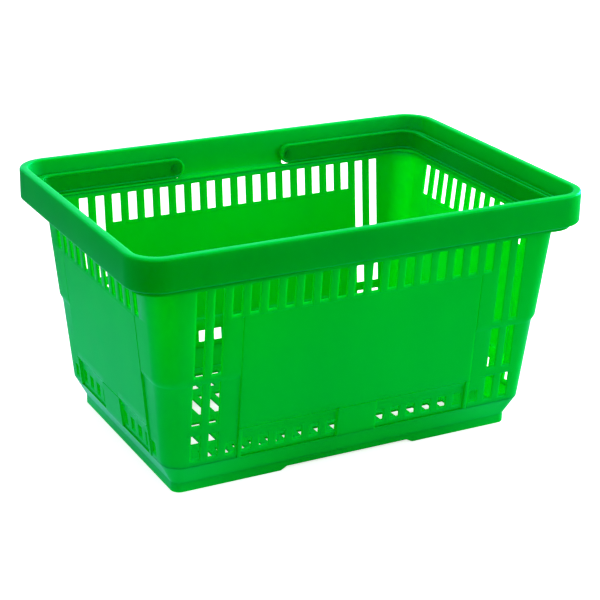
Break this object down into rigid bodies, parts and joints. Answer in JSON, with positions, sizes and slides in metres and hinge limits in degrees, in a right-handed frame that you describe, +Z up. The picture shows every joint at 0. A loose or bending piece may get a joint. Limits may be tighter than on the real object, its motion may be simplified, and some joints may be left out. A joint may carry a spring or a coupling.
{
  "type": "shopping basket",
  "caption": "Hand-carried shopping basket moulded in green plastic, with slotted tapered walls, a deep outer rim band and folding carry handles that lie flat inside the rim.",
  "frame": {"origin": "bottom centre of the foot the basket stands on, at table height", "axes": "+Z up; +X along the long side of the basket; +Y across it, from the front long wall to the back long wall"},
  "size_m": [0.43, 0.295, 0.228],
  "materials": {
    "basket_plastic": "semi-gloss, slightly see-through green polypropylene",
    "handle_plastic": "semi-gloss green polypropylene"
  },
  "bodies": {
    "basket": {"rim_front": "basket_plastic", "rim_back": "basket_plastic", "rim_left": "basket_plastic", "rim_right": "basket_plastic", "rim_corner_front_left": "basket_plastic", "rim_corner_front_right": "basket_plastic", "rim_corner_back_left": "basket_plastic", "rim_corner_back_right": "basket_plastic", "ledge_front": "basket_plastic", "ledge_back": "basket_plastic", "ledge_left": "basket_plastic", "ledge_right": "basket_plastic", "wall_front": "basket_plastic", "wall_back": "basket_plastic", "wall_left": "basket_plastic", "wall_right": "basket_plastic", "corner_front_left": "basket_plastic", "corner_front_right": "basket_plastic", "corner_back_left": "basket_plastic", "corner_back_right": "basket_plastic", "base_front": "basket_plastic", "base_back": "basket_plastic", "base_left": "basket_plastic", "base_right": "basket_plastic", "base_corner_front_left": "basket_plastic", "base_corner_front_right": "basket_plastic", "base_corner_back_left": "basket_plastic", "base_corner_back_right": "basket_plastic", "floor_grid": "basket_plastic"},
    "left_handle": {"left_handle": "handle_plastic"},
    "right_handle": {"right_handle": "handle_plastic"}
  },
  "joints": [
    {"name": "left_handle_hinge", "type": "hinge", "parent": "basket", "child": "left_handle", "pos_m": [-0.0602, 0, 0.2057], "axis": [0, 1, 0], "range_deg": [0, 110]},
    {"name": "right_handle_hinge", "type": "hinge", "parent": "basket", "child": "right_handle", "pos_m": [0.0602, 0, 0.2057], "axis": [0, -1, 0], "range_deg": [0, 110]}
  ]
}
